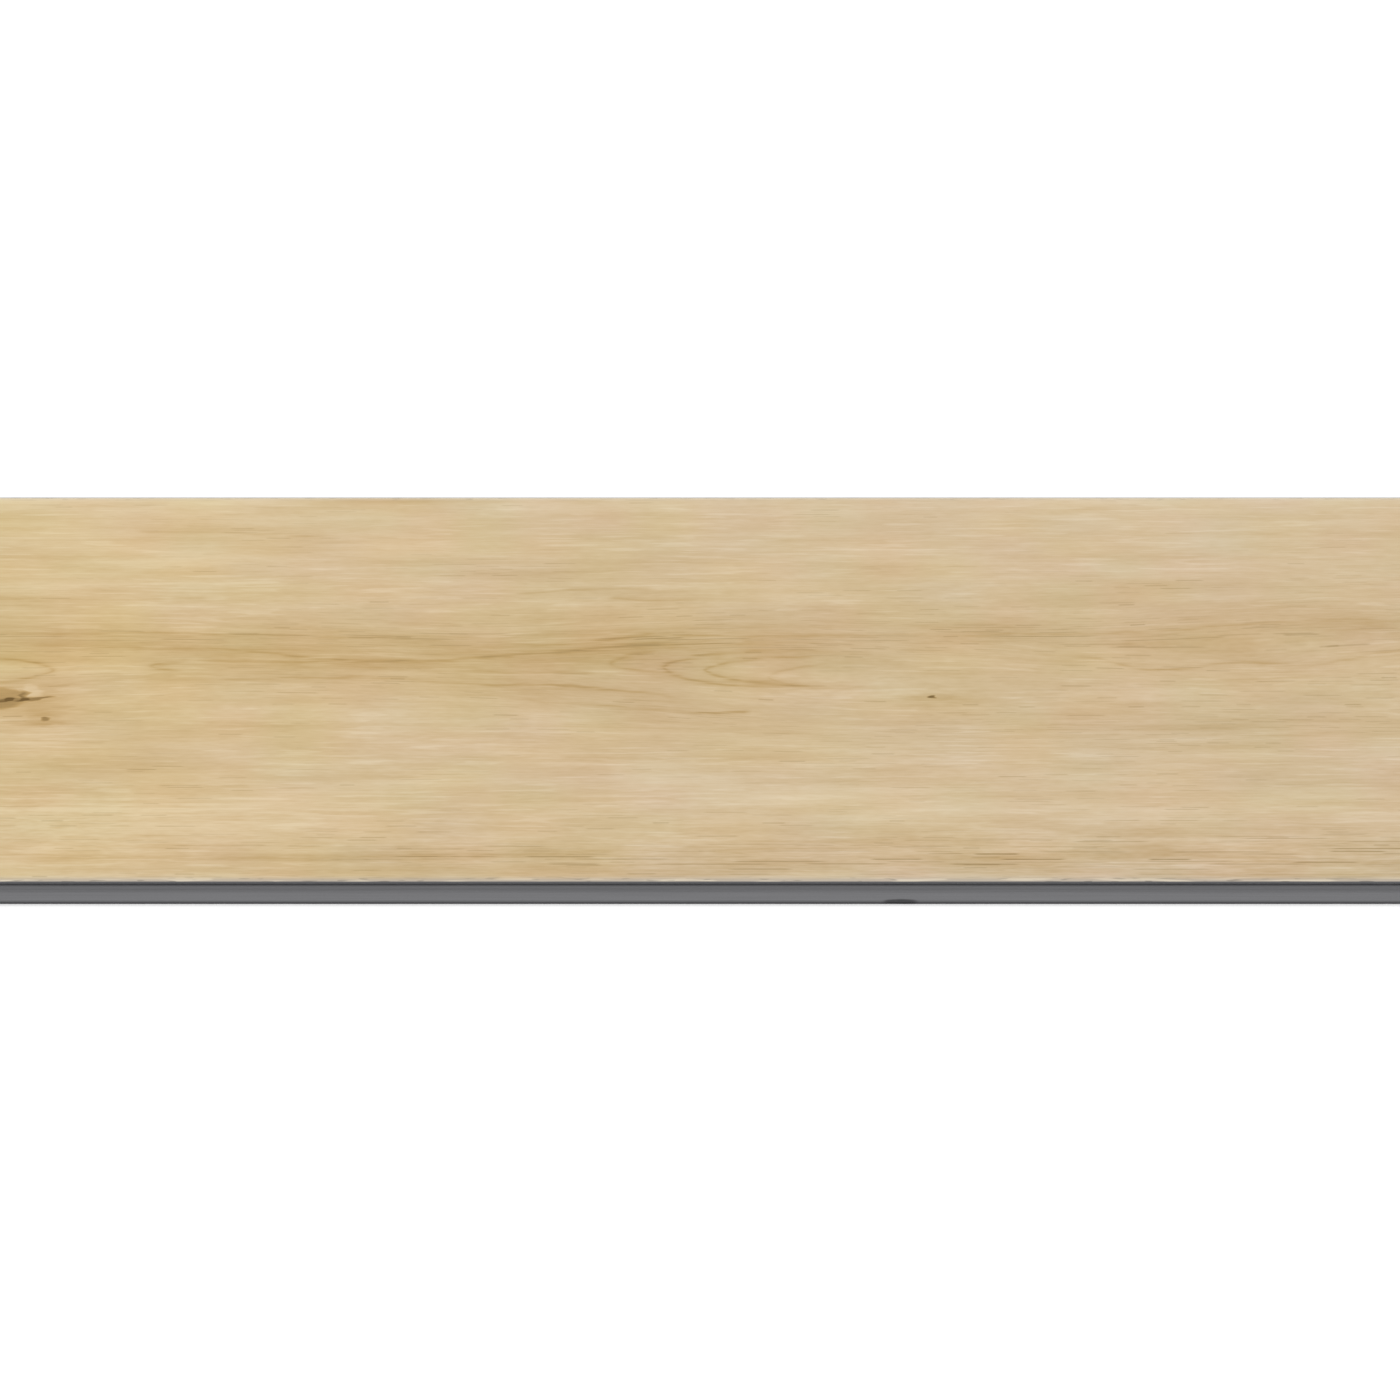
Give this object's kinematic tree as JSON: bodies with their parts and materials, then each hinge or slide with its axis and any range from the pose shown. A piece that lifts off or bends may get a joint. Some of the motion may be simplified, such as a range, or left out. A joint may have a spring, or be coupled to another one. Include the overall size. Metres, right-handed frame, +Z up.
{
  "type": "vinyl floor plank",
  "caption": "Click-lock rigid vinyl floor plank with a pale oak print, a grey core, micro-bevelled edges and a tongue and groove lock on all sides.",
  "frame": {"origin": "on the underside, below the middle of the walking face", "axes": "+X along the plank towards the end with the groove, +Y across it towards the long side with the tongue, +Z up out of the walking face"},
  "size_m": [1.2284, 0.1884, 0.005],
  "materials": {
    "grey_core": "matte",
    "oak_print": "matte"
  },
  "bodies": {
    "root": {"rigid_core": "grey_core", "decor_layer": "oak_print"}
  },
  "joints": []
}
